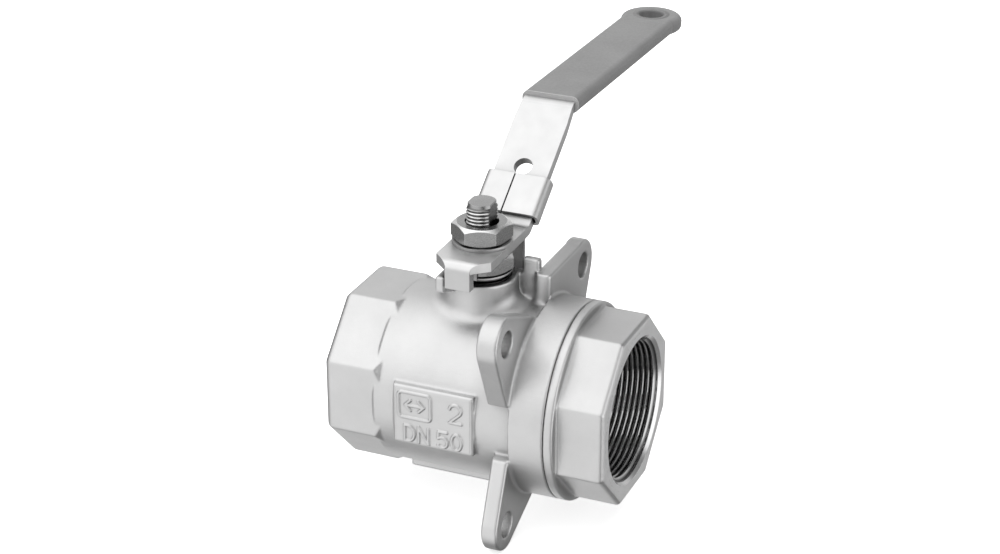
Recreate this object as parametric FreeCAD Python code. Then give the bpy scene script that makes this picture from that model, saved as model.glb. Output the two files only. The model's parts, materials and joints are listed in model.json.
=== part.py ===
"""Two-piece threaded ball valve, size 2, with four fixing lugs, a hand lever and a padlock slide.

Millimetres, +Z up. X runs along the pipe. Everything is drawn about the ball's centre, with the lever in its
closed place over +Y, and moved at export so that the origin is the centre of the inlet's face.
"""
import FreeCAD, Part
import math
import os

Vec = FreeCAD.Vector
ORIGIN = Vec(0, 0, 0)
AXIS_X = Vec(1, 0, 0)
AXIS_Y = Vec(0, 1, 0)
AXIS_Z = Vec(0, 0, 1)
MARGIN = 1.0               # how far cutting tools run past what they cut
NEAR = 0.1                 # edges are told apart by their place to within this

# Pipe ends: parallel pipe thread of size 2, cut into octagonal wrench ends.
THREAD_R = 29.8            # wall of the threaded ports, at the thread's root
THREAD_LENGTH = 22.0
INLET_X = -55.0            # face of the inlet, from the ball's centre
OUTLET_X = 67.7            # face of the outlet
OCTAGON_AF = 73.4          # across flats of both wrench ends
OCTAGON_EDGE_R = 2.0
INLET_EDGE_R = 3.6         # rounder outer edge of the cast inlet end

# Body casting.
BARREL_X = -32.5           # barrel starts here; the octagon's corners run out over it
CORNER_FADE_X = (-32.5, -29.0)
BARREL_R = 38.0
BARREL_EDGE_R = 0.9
COLLAR_R = 41.5
COLLAR_X = 28.4            # collar's left face, flush with the lugs' right faces
PARTING_X = 43.7           # body meets the end cap
PARTING_EDGE_R = 0.7
NECK_R = 14.7
NECK_TOP_Z = 49.4
NECK_FILLET_R = 7.0
CAVITY_R = 32.5
CAVITY_HALF_X = 24.0
CAP_THREAD_R = 37.0
CAP_FLANGE_T = 4.0         # round flange of the cap, against the collar
CAP_LIP = 3.0              # how far the cap's lip reaches into the cavity past the gasket
CAP_FUNNEL_R = 25.0        # the port's wide end, where it meets the thread
GASKET_T = 2.0
BURIED_Z = 20.0            # ribs and webs start this deep inside the barrel
FIT_GAP = 0.1              # radial gap of screwed and seated parts
RUNNING_GAP = 0.06         # end gap between parts that turn on each other

# Fixing lugs.
LUG_THICKNESS = 7.0
UPPER_FRONT_LUG_THICKNESS = 8.8
LUG_PCD = 115.0
LUG_TIP_R = 11.0
LUG_HOLE_R = 5.5           # clears M10
LUG_ROOT_R = 42.2
LUG_ROOT_HALF_DEG = 28.0
LUG_INNER_R = 34.0
LUG_EDGE_R = 0.9
LUG_DRILL_LENGTH = 30.0
WEB_DROP = 0.6             # the rear web's top lies this much below the lug's
WEB_FRONT_Y = 3.4          # front of the web below the upper rear lug
WEB_CORNER_R = 1.8         # its upright corners

# Marker pads cast on the front and underneath.
PAD_X = (-22.6, 12.8)
LOWER_PAD_X = (-26.5, 12.8)
PAD_Z = (-14.0, 12.5)
LOWER_PAD_Y = (-14.0, 14.0)
PAD_FACE = 39.0
PAD_EDGE_R = 0.8

# Stops for the lever's tab, and the guide ribs for the padlock slide.
TAB_HALF_WIDTH = 5.4
STOP_GAP = 0.4
STOP_WIDTH = 4.2
STOP_REACH = 24.5
OPEN_STOP_REACH = 22.5
STOP_TOP_Z = 56.0
STOP_INNER_Y = 15.2        # the upright part starts this far from the stem's axis
STOP_FRONT_Z = 49.5        # the stop's underside slopes from here to the neck
STOP_ROOT_Z = 46.0
STOP_EDGE_R = 1.0
GUIDE_WIDTH = 3.6
GUIDE_START_Y = 8.0
GUIDE_EDGE_R = 0.9
GUIDE_TOP_Z = 39.8
GUIDE_REACH = 30.0

# Ball and seats.
BALL_R = 31.0
PORT_R = 20.0
SEAT_R = 27.5
SEAT_INNER_R = 20.5
SEAT_BACK_X = 28.5
SEAT_FRONT_X = 17.5
BALL_GAP = 0.1
SLOT_WIDTH = 10.0
SLOT_FLOOR_Z = 24.0

# Stem stack, from the ball upwards.
STEM_R = 8.0
STEM_SHOULDER_R = 10.6
SHOULDER_Z = (32.2, 35.2)
TONGUE_HALF_LENGTH = 8.0
TONGUE_LIFT = 0.5          # the stem's tongue stays this far off the slot's floor
THRUST_WASHER_H = 1.5
CHAMBER_FLOOR_Z = 40.0
CHAMBER_R = 12.0
PACKING_RING_H = 1.9
V_RING_COUNT = 3
V_RING_H = 1.25
V_RING_DIP = 0.7
V_RING_GAP = 0.03
GLAND_TOP_Z = 48.6
BELLEVILLE_R = 11.7
BELLEVILLE_H = 1.4
BELLEVILLE_RISE = 0.5
LOOSE_GAP = 0.3            # radial gap of washers and of the stem's shoulder
THREAD_STUD_R = 7.0        # M14 crest
STUD_CORE_R = 5.9          # M14 root
STEM_FLAT = 5.0            # half of the stem's width across its two flats
STEM_TOP_Z = 81.0
TAB_WASHER_T = 0.8
TAB_WASHER_TAB = (3.0, 3.8)  # half width and height of its folded tab
TAB_WASHER_OVERHANG = 0.6
TAB_WASHER_EDGE_R = 0.35
FLAT_GAP = 0.05            # round the stem's flats
GLAND_NUT_AF = 24.0
GLAND_NUT_TURN = -59.0
LEVER_NUT_AF = 22.0
LEVER_NUT_TURN = -40.0
LEVER_NUT_H = 7.6
NUT_FACE_SHARE = 0.93      # radius of a nut's round face over half its width across flats
NUT_CHAMFER_DEG = 30.0
LEVER_WASHER_R = 12.3
LEVER_WASHER_T = 1.3
LEVER_WASHER_SPLIT = 1.0
LEVER_WASHER_SPLIT_DEG = 60.0
NUT_RECESS = 0.4           # crest of the stud's full thread below the nut's top

# Antistatic devices: a small ball on a spring, in the stem's foot and in its side.
STATIC_BALL_R = 1.2
STATIC_HOLE_R = 1.3
STATIC_FOOT_HOLE_DEPTH = 7.0
STATIC_SIDE_HOLE_Y = 2.0
STATIC_SPRING_LENGTH = 3.2
STATIC_SPRING_WIRE_R = 0.22
STATIC_SPRING_GAP = 0.3
STATIC_SPRING_TURNS = 4
STATIC_SIDE_Z = 38.3

# Lever, a bent flat bar: its top line in the Y-Z plane.
LEVER_T = 4.0
LEVER_TOP_Z = 63.5
LEVER_HALF_WIDTH = 12.0
GRIP_HALF_WIDTH = 11.2     # the bar narrows a little under the sleeve
NARROWING_Y = (62.0, 73.0)
TAB_Y = -25.0
TAB_BOTTOM_Z = 52.0
TAB_SQUARE = 0.5           # the tab keeps its width this far behind its face
RISE_START_Y = 20.5
GRIP_START_Y = 71.0
GRIP_TOP_Z = 100.2
GRIP_DROP = 1.6            # degrees that the grip falls towards its eye
EYE_Y = 198.0
EYE_R = 12.4
EYE_HOLE_R = 7.0
BEND_R = 4.0
TAB_BEND_R = 0.6           # inside of the tab's bend
RISE = math.atan2(GRIP_TOP_Z - LEVER_TOP_Z, GRIP_START_Y - RISE_START_Y)
PADLOCK_HOLE_R = 4.0
PADLOCK_HOLE_AT = 27.8     # along the rise, from its start

# Vinyl grip sleeve over the level part of the lever.
SLEEVE_T = 1.6
SLEEVE_START_Y = 72.4
SLEEVE_EYE_R = 14.2
SLEEVE_HOLE_R = 5.4
SLEEVE_EDGE_R = 2.9
SLEEVE_HOLE_EDGE_R = 1.0

# Padlock slide: a sheet wrapped round the lever's rise, with a tongue that drops behind the neck.
SLIDE_SHEET = 1.5
SLIDE_GAP = 0.4
SLIDE_SIDE_GAP = 0.9
SLIDE_AT = 4.2
SLIDE_LENGTH = 18.9
SLIDE_SEAM = 0.6
SLIDE_SEAM_X = -1.4
SLIDE_EDGE_R = (3.0, 1.5)  # outside and inside of its long bends
TONGUE_EDGE_R = 1.4
TONGUE_OVERLAP = 0.9       # the tongue runs this far up into the wrap
TONGUE_HALF_WIDTH = 7.6
TONGUE_TIP_Z = 40.2

MOVE_TO_ORIGIN = Vec(-INLET_X, 0, 0)


def disc(radius, x0, x1):
    """Cylinder about the pipe's axis."""
    return Part.makeCylinder(radius, x1 - x0, Vec(x0, 0, 0), AXIS_X)


def post(radius, z0, z1, x=0.0, y=0.0):
    """Upright cylinder."""
    return Part.makeCylinder(radius, z1 - z0, Vec(x, y, z0), AXIS_Z)


def block(x0, x1, y0, y1, z0, z1):
    return Part.makeBox(x1 - x0, y1 - y0, z1 - z0, Vec(x0, y0, z0))


def ring(outer_r, inner_r, z0, z1):
    return post(outer_r, z0, z1).cut(post(inner_r, z0 - MARGIN, z1 + MARGIN))


def runs_along_x(edge):
    return edge.BoundBox.XLength > 1


def is_flat_in_z(edge):
    return edge.BoundBox.ZLength < NEAR


def softened(solid, radius, chosen=None):
    """The solid with its edges rounded: all of them, or those that chosen picks."""
    return solid.makeFillet(radius, [e for e in solid.Edges if chosen is None or chosen(e)])


def prism(points, direction):
    """Flat polygon swept along direction."""
    return Part.Face(Part.makePolygon(points + points[:1])).extrude(direction)


def revolved(profile, axis):
    """Closed profile turned once about an axis through the ball's centre."""
    return Part.Face(Part.makePolygon(profile + profile[:1])).revolve(ORIGIN, axis, 360)


def octagon(x0, x1, end_r=OCTAGON_EDGE_R):
    """Octagonal wrench end with one flat on top, rounded like a casting; end_r rounds the edge at x0."""
    corner_r = OCTAGON_AF / 2 / math.cos(math.pi / 8)
    corners = []
    for k in range(8):
        angle = math.radians(22.5 + 45 * k)
        corners.append(Vec(x0, corner_r * math.cos(angle), corner_r * math.sin(angle)))
    blank = prism(corners, Vec(x1 - x0, 0, 0))
    if end_r > OCTAGON_EDGE_R:
        blank = softened(blank, OCTAGON_EDGE_R, runs_along_x)
        return softened(blank, end_r, lambda e: e.BoundBox.XMax < x0 + NEAR)
    return softened(blank, OCTAGON_EDGE_R)


def inlet_octagon():
    """Inlet's wrench end, whose corners fade out in a cone over the start of the barrel."""
    corner_r = OCTAGON_AF / 2 / math.cos(math.pi / 8)
    x0, x1 = CORNER_FADE_X
    buried_r = BARREL_R - 0.4
    fade = [Vec(INLET_X, 0, 0), Vec(INLET_X, 0, corner_r), Vec(x0, 0, corner_r), Vec(x1, 0, buried_r),
            Vec(x1, 0, 0)]
    blank = octagon(INLET_X, x1 + 3 * OCTAGON_EDGE_R, INLET_EDGE_R)
    return blank.common(revolved(fade, AXIS_X))


def hexagon(across_flats, height, z0, turn_deg):
    """Hexagonal nut blank with both faces chamfered, one corner at turn_deg."""
    corner_r = across_flats / math.sqrt(3)
    corners = []
    for k in range(6):
        angle = math.radians(turn_deg + 60 * k)
        corners.append(Vec(corner_r * math.cos(angle), corner_r * math.sin(angle), z0))
    blank = prism(corners, Vec(0, 0, height))
    face_r = across_flats / 2 * NUT_FACE_SHARE
    drop = (corner_r - face_r) * math.tan(math.radians(NUT_CHAMFER_DEG))
    barrel = [Vec(0, 0, z0), Vec(face_r, 0, z0), Vec(corner_r, 0, z0 + drop),
              Vec(corner_r, 0, z0 + height - drop), Vec(face_r, 0, z0 + height), Vec(0, 0, z0 + height)]
    return blank.common(revolved(barrel, AXIS_Z))


def lug(angle_deg, thickness=LUG_THICKNESS):
    """One fixing lug: a tip circle joined by tangent flanks to a wide root on the barrel."""
    x0 = COLLAR_X - thickness
    tip = Vec(x0, LUG_PCD / 2, 0)
    half = math.radians(LUG_ROOT_HALF_DEG)
    root = Vec(x0, LUG_ROOT_R * math.cos(half), LUG_ROOT_R * math.sin(half))
    reach = tip - root
    span = reach.Length
    slope = math.atan2(reach.z, reach.y) + math.asin(LUG_TIP_R / span)
    run = math.sqrt(span ** 2 - LUG_TIP_R ** 2)
    touch = root + Vec(0, run * math.cos(slope), run * math.sin(slope))
    inner = Vec(x0, LUG_INNER_R * math.cos(half), LUG_INNER_R * math.sin(half))
    mirror = [Vec(p.x, p.y, -p.z) for p in (root, touch, inner)]
    crown = Part.Arc(touch, tip + Vec(0, LUG_TIP_R, 0), mirror[1])
    outline = Part.Wire([Part.makeLine(inner, root), Part.makeLine(root, touch), crown.toShape(),
                         Part.makeLine(mirror[1], mirror[0]), Part.makeLine(mirror[0], mirror[2]),
                         Part.makeLine(mirror[2], inner)])
    plate = Part.Face(outline).extrude(Vec(thickness, 0, 0))
    plate = softened(plate, LUG_EDGE_R, lambda e: e.CenterOfMass.y > LUG_ROOT_R
                     and e.BoundBox.XLength < NEAR)
    plate.rotate(ORIGIN, AXIS_X, angle_deg)
    return plate


def lug_holes():
    holes = []
    for k in range(4):
        start = Vec(COLLAR_X + MARGIN - LUG_DRILL_LENGTH, LUG_PCD / 2, 0)
        hole = Part.makeCylinder(LUG_HOLE_R, LUG_DRILL_LENGTH, start, AXIS_X)
        hole.rotate(ORIGIN, AXIS_X, 45 + 90 * k)
        holes.append(hole)
    return holes


def stop_rib(reach):
    """Stop for the lever's tab in front of the neck: an upright on a bracket, on the inlet's side."""
    right = -TAB_HALF_WIDTH - STOP_GAP
    x0 = right - STOP_WIDTH
    side = [Vec(x0, -reach, STOP_TOP_Z), Vec(x0, -reach, STOP_FRONT_Z),
            Vec(x0, -NECK_R, STOP_ROOT_Z), Vec(x0, -NECK_R / 2, STOP_ROOT_Z),
            Vec(x0, -NECK_R / 2, NECK_TOP_Z), Vec(x0, -STOP_INNER_Y, NECK_TOP_Z),
            Vec(x0, -STOP_INNER_Y, STOP_TOP_Z)]
    rib = prism(side, Vec(STOP_WIDTH, 0, 0))
    return softened(rib, STOP_EDGE_R, lambda e: e.CenterOfMass.y < -reach + NEAR
                    or e.CenterOfMass.z > STOP_TOP_Z - NEAR)


def open_stop():
    """The second stop: the first one mirrored in the line halfway between closed and open."""
    rib = stop_rib(OPEN_STOP_REACH)
    rib.rotate(ORIGIN, AXIS_Z, 90)
    return rib.mirror(ORIGIN, AXIS_Y)


def rear_web():
    """Web from the neck to the upper rear lug; the wall to it is flush with the front of the open stop."""
    lug_y = LUG_PCD / 2 * math.cos(math.pi / 4)
    top = lug_y + LUG_TIP_R - WEB_DROP
    x0 = COLLAR_X - LUG_THICKNESS
    plate = block(x0, COLLAR_X, WEB_FRONT_Y, lug_y, BURIED_Z, top)
    plate = softened(plate, WEB_CORNER_R, lambda e: e.CenterOfMass.y < WEB_FRONT_Y + NEAR
                     and e.BoundBox.ZLength > 1)
    plate = softened(plate, LUG_EDGE_R, lambda e: e.CenterOfMass.z > top - NEAR and e.BoundBox.YLength > 1)
    wall_front = TAB_HALF_WIDTH + STOP_GAP
    wall = block(0, x0 + MARGIN, wall_front, wall_front + STOP_WIDTH, BURIED_Z, NECK_TOP_Z)
    return plate.fuse(wall)


def guide_ribs():
    """Two ribs behind the neck; the slide's tongue drops between them when the lever is closed."""
    inner = TONGUE_HALF_WIDTH + STOP_GAP
    ribs = [block(x0, x0 + GUIDE_WIDTH, GUIDE_START_Y, GUIDE_REACH, BURIED_Z, GUIDE_TOP_Z)
            for x0 in (inner, -inner - GUIDE_WIDTH)]
    return [softened(rib, GUIDE_EDGE_R, lambda e: e.CenterOfMass.y > GUIDE_REACH - NEAR
                     or e.CenterOfMass.z > GUIDE_TOP_Z - NEAR) for rib in ribs]


def marker_pad(span_x, span_z):
    pad = block(*span_x, -PAD_FACE, -BARREL_R / 2, *span_z)
    return softened(pad, PAD_EDGE_R, lambda e: e.CenterOfMass.y < -PAD_FACE + NEAR)


def body_hollows():
    """Everything bored out of the body casting."""
    bores = [disc(THREAD_R, INLET_X - MARGIN, INLET_X + THREAD_LENGTH),
             disc(PORT_R, INLET_X, 0),
             disc(SEAT_R + FIT_GAP, -SEAT_BACK_X, 0),
             disc(CAVITY_R, -CAVITY_HALF_X, CAVITY_HALF_X),
             disc(CAP_THREAD_R, CAVITY_HALF_X, PARTING_X + MARGIN),
             post(STEM_SHOULDER_R + LOOSE_GAP, 0, SHOULDER_Z[1] + THRUST_WASHER_H),
             post(STEM_R + FIT_GAP, 0, NECK_TOP_Z),
             post(CHAMBER_R, CHAMBER_FLOOR_Z, NECK_TOP_Z + MARGIN)]
    return bores[0].fuse(bores[1:] + lug_holes())


def body_casting():
    barrel = softened(disc(BARREL_R, BARREL_X, COLLAR_X + MARGIN), BARREL_EDGE_R,
                      lambda e: e.BoundBox.XMax < BARREL_X + NEAR)
    neck = post(NECK_R, 0, NECK_TOP_Z)
    trunk = barrel.fuse(neck)
    trunk = softened(trunk, NECK_FILLET_R, lambda e: e.BoundBox.ZMax < NECK_TOP_Z - MARGIN
                     and e.BoundBox.ZMin > BARREL_R / 2 and e.BoundBox.XLength > NECK_R)
    collar = softened(disc(COLLAR_R, COLLAR_X, PARTING_X), PARTING_EDGE_R,
                      lambda e: e.BoundBox.XLength < NEAR)
    lower_pad = marker_pad(LOWER_PAD_X, LOWER_PAD_Y)
    lower_pad.rotate(ORIGIN, AXIS_X, 90)
    pieces = [collar, inlet_octagon(), marker_pad(PAD_X, PAD_Z), lower_pad,
              stop_rib(STOP_REACH), open_stop(), rear_web(), lug(45), lug(225), lug(315),
              lug(135, UPPER_FRONT_LUG_THICKNESS)] + guide_ribs()
    return trunk.fuse(pieces).cut(body_hollows())


def end_cap():
    thread_end = OUTLET_X - THREAD_LENGTH
    outer = [octagon(PARTING_X + CAP_FLANGE_T / 2, OUTLET_X),
             softened(disc(COLLAR_R, PARTING_X, PARTING_X + CAP_FLANGE_T), PARTING_EDGE_R),
             disc(CAP_THREAD_R - FIT_GAP, CAVITY_HALF_X + GASKET_T, PARTING_X + MARGIN),
             disc(CAVITY_R - FIT_GAP, CAVITY_HALF_X - CAP_LIP, PARTING_X)]
    funnel = [Vec(SEAT_BACK_X - MARGIN, 0, 0), Vec(SEAT_BACK_X - MARGIN, 0, PORT_R),
              Vec(SEAT_BACK_X + 2 * MARGIN, 0, PORT_R), Vec(thread_end, 0, CAP_FUNNEL_R),
              Vec(thread_end, 0, 0)]
    cuts = [disc(THREAD_R, thread_end, OUTLET_X + MARGIN),
            disc(SEAT_R + FIT_GAP, 0, SEAT_BACK_X),
            revolved(funnel, AXIS_X)]
    return outer[0].fuse(outer[1:]).removeSplitter().cut(cuts[0].fuse(cuts[1:]))


def seat(side):
    """Ring seat with a round face against the ball; side is -1 at the inlet and 1 at the outlet."""
    x0, x1 = sorted((side * SEAT_BACK_X, side * SEAT_FRONT_X))
    blank = disc(SEAT_R, x0, x1).cut(disc(SEAT_INNER_R, x0 - MARGIN, x1 + MARGIN))
    return blank.cut(Part.makeSphere(BALL_R + BALL_GAP))


def ball():
    """Floating ball in its closed place: the bore lies along Y and the stem's slot along X."""
    body = Part.makeSphere(BALL_R)
    body = body.cut(Part.makeCylinder(PORT_R, 4 * BALL_R, Vec(0, -2 * BALL_R, 0), AXIS_Y))
    return body.cut(block(-BALL_R, BALL_R, -SLOT_WIDTH / 2, SLOT_WIDTH / 2, SLOT_FLOOR_Z, 2 * BALL_R))


def gasket():
    blank = disc(CAP_THREAD_R - FIT_GAP, CAVITY_HALF_X, CAVITY_HALF_X + GASKET_T)
    return blank.cut(disc(CAVITY_R, CAVITY_HALF_X - MARGIN, CAVITY_HALF_X + GASKET_T + MARGIN))


def stem():
    tongue_half = SLOT_WIDTH / 2 - FIT_GAP
    tongue = block(-TONGUE_HALF_LENGTH, TONGUE_HALF_LENGTH, -tongue_half, tongue_half,
                   SLOT_FLOOR_Z + TONGUE_LIFT, SHOULDER_Z[0])
    nut_top = LEVER_TOP_Z + LEVER_WASHER_T + LEVER_NUT_H
    shaft = tongue.fuse([post(STEM_SHOULDER_R, SHOULDER_Z[0], SHOULDER_Z[1]),
                         post(STEM_R, SHOULDER_Z[1], GLAND_TOP_Z),
                         flatted(THREAD_STUD_R, GLAND_TOP_Z, nut_top - NUT_RECESS),
                         flatted(STUD_CORE_R, LEVER_TOP_Z, STEM_TOP_Z)])
    foot_hole = post(STATIC_HOLE_R, SLOT_FLOOR_Z, SLOT_FLOOR_Z + STATIC_FOOT_HOLE_DEPTH)
    side_hole = Part.makeCylinder(STATIC_HOLE_R, STEM_R, Vec(0, STATIC_SIDE_HOLE_Y, STATIC_SIDE_Z), AXIS_Y)
    return shaft.cut(foot_hole.fuse(side_hole))


def flatted(radius, z0, z1, gap=0.0):
    """Round post with two flats across X."""
    half = STEM_FLAT + gap
    return post(radius + gap, z0, z1).common(block(-half, half, -radius - MARGIN, radius + MARGIN, z0, z1))


def antistatic_balls():
    foot = Part.makeSphere(STATIC_BALL_R, Vec(0, 0, SLOT_FLOOR_Z + STATIC_BALL_R + FLAT_GAP))
    side = Part.makeSphere(STATIC_BALL_R, Vec(0, STEM_R - STATIC_BALL_R, STATIC_SIDE_Z))
    return Part.makeCompound([foot, side])


def antistatic_springs():
    """Two small coil springs, one behind each antistatic ball."""
    coil_r = STATIC_HOLE_R - FIT_GAP - STATIC_SPRING_WIRE_R
    pitch = STATIC_SPRING_LENGTH / STATIC_SPRING_TURNS
    helix = Part.makeHelix(pitch, STATIC_SPRING_LENGTH, coil_r)
    wire = Part.Wire(Part.Circle(Vec(coil_r, 0, 0), AXIS_Y, STATIC_SPRING_WIRE_R).toShape())
    coil = Part.Wire(helix).makePipeShell([wire], True, True)
    foot = coil.copy()
    foot.translate(Vec(0, 0, SLOT_FLOOR_Z + 2 * STATIC_BALL_R + FLAT_GAP + STATIC_SPRING_GAP))
    side = coil.copy()
    side.rotate(ORIGIN, AXIS_X, -90)
    side.translate(Vec(0, STATIC_SIDE_HOLE_Y + STATIC_SPRING_GAP, STATIC_SIDE_Z))
    return Part.makeCompound([foot, side])


def v_ring(z0):
    """Chevron packing ring: its section is a flat V, open downwards."""
    inner, outer = STEM_R + FIT_GAP, CHAMBER_R - FIT_GAP
    middle = (inner + outer) / 2
    section = [Vec(inner, 0, z0), Vec(middle, 0, z0 + V_RING_DIP), Vec(outer, 0, z0),
               Vec(outer, 0, z0 + V_RING_H), Vec(middle, 0, z0 + V_RING_H + V_RING_DIP),
               Vec(inner, 0, z0 + V_RING_H)]
    return revolved(section, AXIS_Z)


def packing():
    """Bottom ring, chevrons and top ring, nested in the neck."""
    inner, outer = STEM_R + FIT_GAP, CHAMBER_R - FIT_GAP
    middle = (inner + outer) / 2
    floor = CHAMBER_FLOOR_Z
    first = floor + PACKING_RING_H - V_RING_DIP
    bottom = revolved([Vec(inner, 0, floor), Vec(outer, 0, floor), Vec(outer, 0, first),
                       Vec(middle, 0, first + V_RING_DIP), Vec(inner, 0, first)], AXIS_Z)
    step = V_RING_H + V_RING_GAP
    chevrons = [v_ring(first + V_RING_GAP + k * step) for k in range(V_RING_COUNT)]
    over = first + V_RING_COUNT * step + V_RING_GAP
    top = revolved([Vec(inner, 0, over), Vec(middle, 0, over + V_RING_DIP), Vec(outer, 0, over),
                    Vec(outer, 0, over + PACKING_RING_H), Vec(inner, 0, over + PACKING_RING_H)], AXIS_Z)
    return bottom, Part.makeCompound(chevrons), top, over + PACKING_RING_H


def belleville(z0, cone_up):
    """Dished spring washer; cone_up puts its small end on top."""
    inner = STEM_R + LOOSE_GAP
    low, high = (0.0, BELLEVILLE_RISE) if cone_up else (BELLEVILLE_RISE, 0.0)
    thick = BELLEVILLE_H - BELLEVILLE_RISE
    section = [Vec(inner, 0, z0 + high), Vec(BELLEVILLE_R, 0, z0 + low),
               Vec(BELLEVILLE_R, 0, z0 + low + thick), Vec(inner, 0, z0 + high + thick)]
    return revolved(section, AXIS_Z)


def tab_washer(z0, nut_side_r):
    """Thin washer with one tab folded up against a flat of the gland nut."""
    turn = GLAND_NUT_TURN - 30
    washer = post(GLAND_NUT_AF / 2 + TAB_WASHER_OVERHANG, z0, z0 + TAB_WASHER_T)
    half, top = TAB_WASHER_TAB
    tab = block(nut_side_r, nut_side_r + TAB_WASHER_T, -half, half, z0, z0 + top)
    foot = block(nut_side_r - half, nut_side_r + TAB_WASHER_T, -half, half, z0, z0 + TAB_WASHER_T)
    tab = softened(tab, TAB_WASHER_EDGE_R, lambda e: e.CenterOfMass.z > z0 + top - NEAR)
    tab = tab.fuse(foot)
    tab.rotate(ORIGIN, AXIS_Z, turn)
    return washer.fuse(tab).removeSplitter().cut(
        flatted(THREAD_STUD_R, z0 - MARGIN, z0 + TAB_WASHER_T + MARGIN, FLAT_GAP))


def rounded_path(points, radii):
    """Edges through points in the Y-Z plane with each inner corner rounded by its radius."""
    edges = []
    last = points[0]
    for i in range(1, len(points) - 1):
        corner = points[i]
        back = (points[i - 1] - corner).normalize()
        ahead = (points[i + 1] - corner).normalize()
        half = back.getAngle(ahead) / 2
        cut = radii[i - 1] / math.tan(half)
        start, end = corner + back * cut, corner + ahead * cut
        bisector = (back + ahead).normalize()
        middle = corner + bisector * (radii[i - 1] / math.sin(half) - radii[i - 1])
        edges += [Part.makeLine(last, start), Part.Arc(start, middle, end).toShape()]
        last = end
    edges.append(Part.makeLine(last, points[-1]))
    return edges


def bent_bar_side(thickness):
    """Side view of the lever as a face in the Y-Z plane, equally thick in the bends."""
    end_y = EYE_Y + 2 * EYE_R
    end_z = GRIP_TOP_Z - (end_y - GRIP_START_Y) * math.tan(math.radians(GRIP_DROP))
    top = [Vec(0, TAB_Y, TAB_BOTTOM_Z), Vec(0, TAB_Y, LEVER_TOP_Z), Vec(0, RISE_START_Y, LEVER_TOP_Z),
           Vec(0, GRIP_START_Y, GRIP_TOP_Z), Vec(0, end_y, end_z)]
    under_z = LEVER_TOP_Z - thickness
    shift = thickness * math.tan(RISE / 2)
    under = [Vec(0, TAB_Y + thickness, TAB_BOTTOM_Z), Vec(0, TAB_Y + thickness, under_z),
             Vec(0, RISE_START_Y + shift, under_z), Vec(0, GRIP_START_Y + shift, GRIP_TOP_Z - thickness),
             Vec(0, end_y, end_z - thickness)]
    outer, inner = BEND_R + thickness, BEND_R
    edges = rounded_path(top, [inner, inner, outer + BEND_R])
    edges += rounded_path(under, [TAB_BEND_R, outer, inner + BEND_R])
    edges += [Part.makeLine(top[0], under[0]), Part.makeLine(top[-1], under[-1])]
    return Part.Face(Part.Wire(Part.__sortEdges__(edges)))


def lever_outline(grow, start_y, eye_r, z0, z1):
    """Plan view of the grip end: parallel sides and a round eye, as an upright solid."""
    half = GRIP_HALF_WIDTH + grow
    bar = block(-half, half, start_y, EYE_Y, z0, z1)
    return bar.fuse(post(eye_r, z0, z1, 0, EYE_Y)).removeSplitter()


def grip_frame(solid):
    """Tips a solid drawn over the level grip down by the grip's fall."""
    solid.rotate(Vec(0, GRIP_START_Y, GRIP_TOP_Z), AXIS_X, -GRIP_DROP)
    return solid


def rise_frame(solid):
    """Places a solid drawn with its length on +Y and its outside on +Z on the lever's rising face."""
    solid.rotate(ORIGIN, AXIS_X, math.degrees(RISE))
    solid.translate(Vec(0, RISE_START_Y, LEVER_TOP_Z))
    return solid


def lever():
    side = bent_bar_side(LEVER_T)
    side.translate(Vec(-LEVER_HALF_WIDTH, 0, 0))
    bar = side.extrude(Vec(2 * LEVER_HALF_WIDTH, 0, 0))
    bottom, top = TAB_BOTTOM_Z - MARGIN, GRIP_TOP_Z + MARGIN
    shoulder_y = TAB_Y + LEVER_HALF_WIDTH - TAB_HALF_WIDTH
    right = [(TAB_HALF_WIDTH, TAB_Y - MARGIN), (TAB_HALF_WIDTH, TAB_Y + TAB_SQUARE),
             (LEVER_HALF_WIDTH, shoulder_y), (LEVER_HALF_WIDTH, NARROWING_Y[0]),
             (GRIP_HALF_WIDTH, NARROWING_Y[1])]
    plan = [Vec(x, y, bottom) for x, y in right] + [Vec(-x, y, bottom) for x, y in reversed(right)]
    grip_plan = lever_outline(0, GRIP_START_Y + MARGIN, EYE_R, bottom, top)
    bar = bar.common(prism(plan, Vec(0, 0, top - bottom)).fuse(grip_plan).removeSplitter())
    under_z = LEVER_TOP_Z - LEVER_T
    beside_tab = [block(x, x + LEVER_HALF_WIDTH, TAB_Y - MARGIN, shoulder_y + 2 * MARGIN, bottom, under_z)
                  for x in (TAB_HALF_WIDTH, -TAB_HALF_WIDTH - LEVER_HALF_WIDTH)]
    padlock_hole = rise_frame(post(PADLOCK_HOLE_R, -LEVER_T - MARGIN, MARGIN, 0, PADLOCK_HOLE_AT))
    stem_hole = flatted(THREAD_STUD_R, under_z - MARGIN, LEVER_TOP_Z + MARGIN, FLAT_GAP)
    eye_hole = grip_frame(post(EYE_HOLE_R, GRIP_TOP_Z - 2 * LEVER_T, GRIP_TOP_Z + LEVER_T, 0, EYE_Y))
    return bar.cut([padlock_hole, stem_hole, eye_hole] + beside_tab)


def grip_sleeve(lever_solid):
    z0, z1 = GRIP_TOP_Z - LEVER_T - SLEEVE_T, GRIP_TOP_Z + SLEEVE_T
    skin = lever_outline(SLEEVE_T, SLEEVE_START_Y, SLEEVE_EYE_R, z0, z1)
    skin = softened(skin, SLEEVE_EDGE_R, lambda e: e.CenterOfMass.y > SLEEVE_START_Y + NEAR
                    and is_flat_in_z(e))
    skin = skin.cut(post(SLEEVE_HOLE_R, z0 - MARGIN, z1 + MARGIN, 0, EYE_Y))
    skin = softened(skin, SLEEVE_HOLE_EDGE_R, lambda e: is_flat_in_z(e)
                    and abs(e.BoundBox.XLength - 2 * SLEEVE_HOLE_R) < NEAR)
    return grip_frame(skin).cut(lever_solid)


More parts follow.
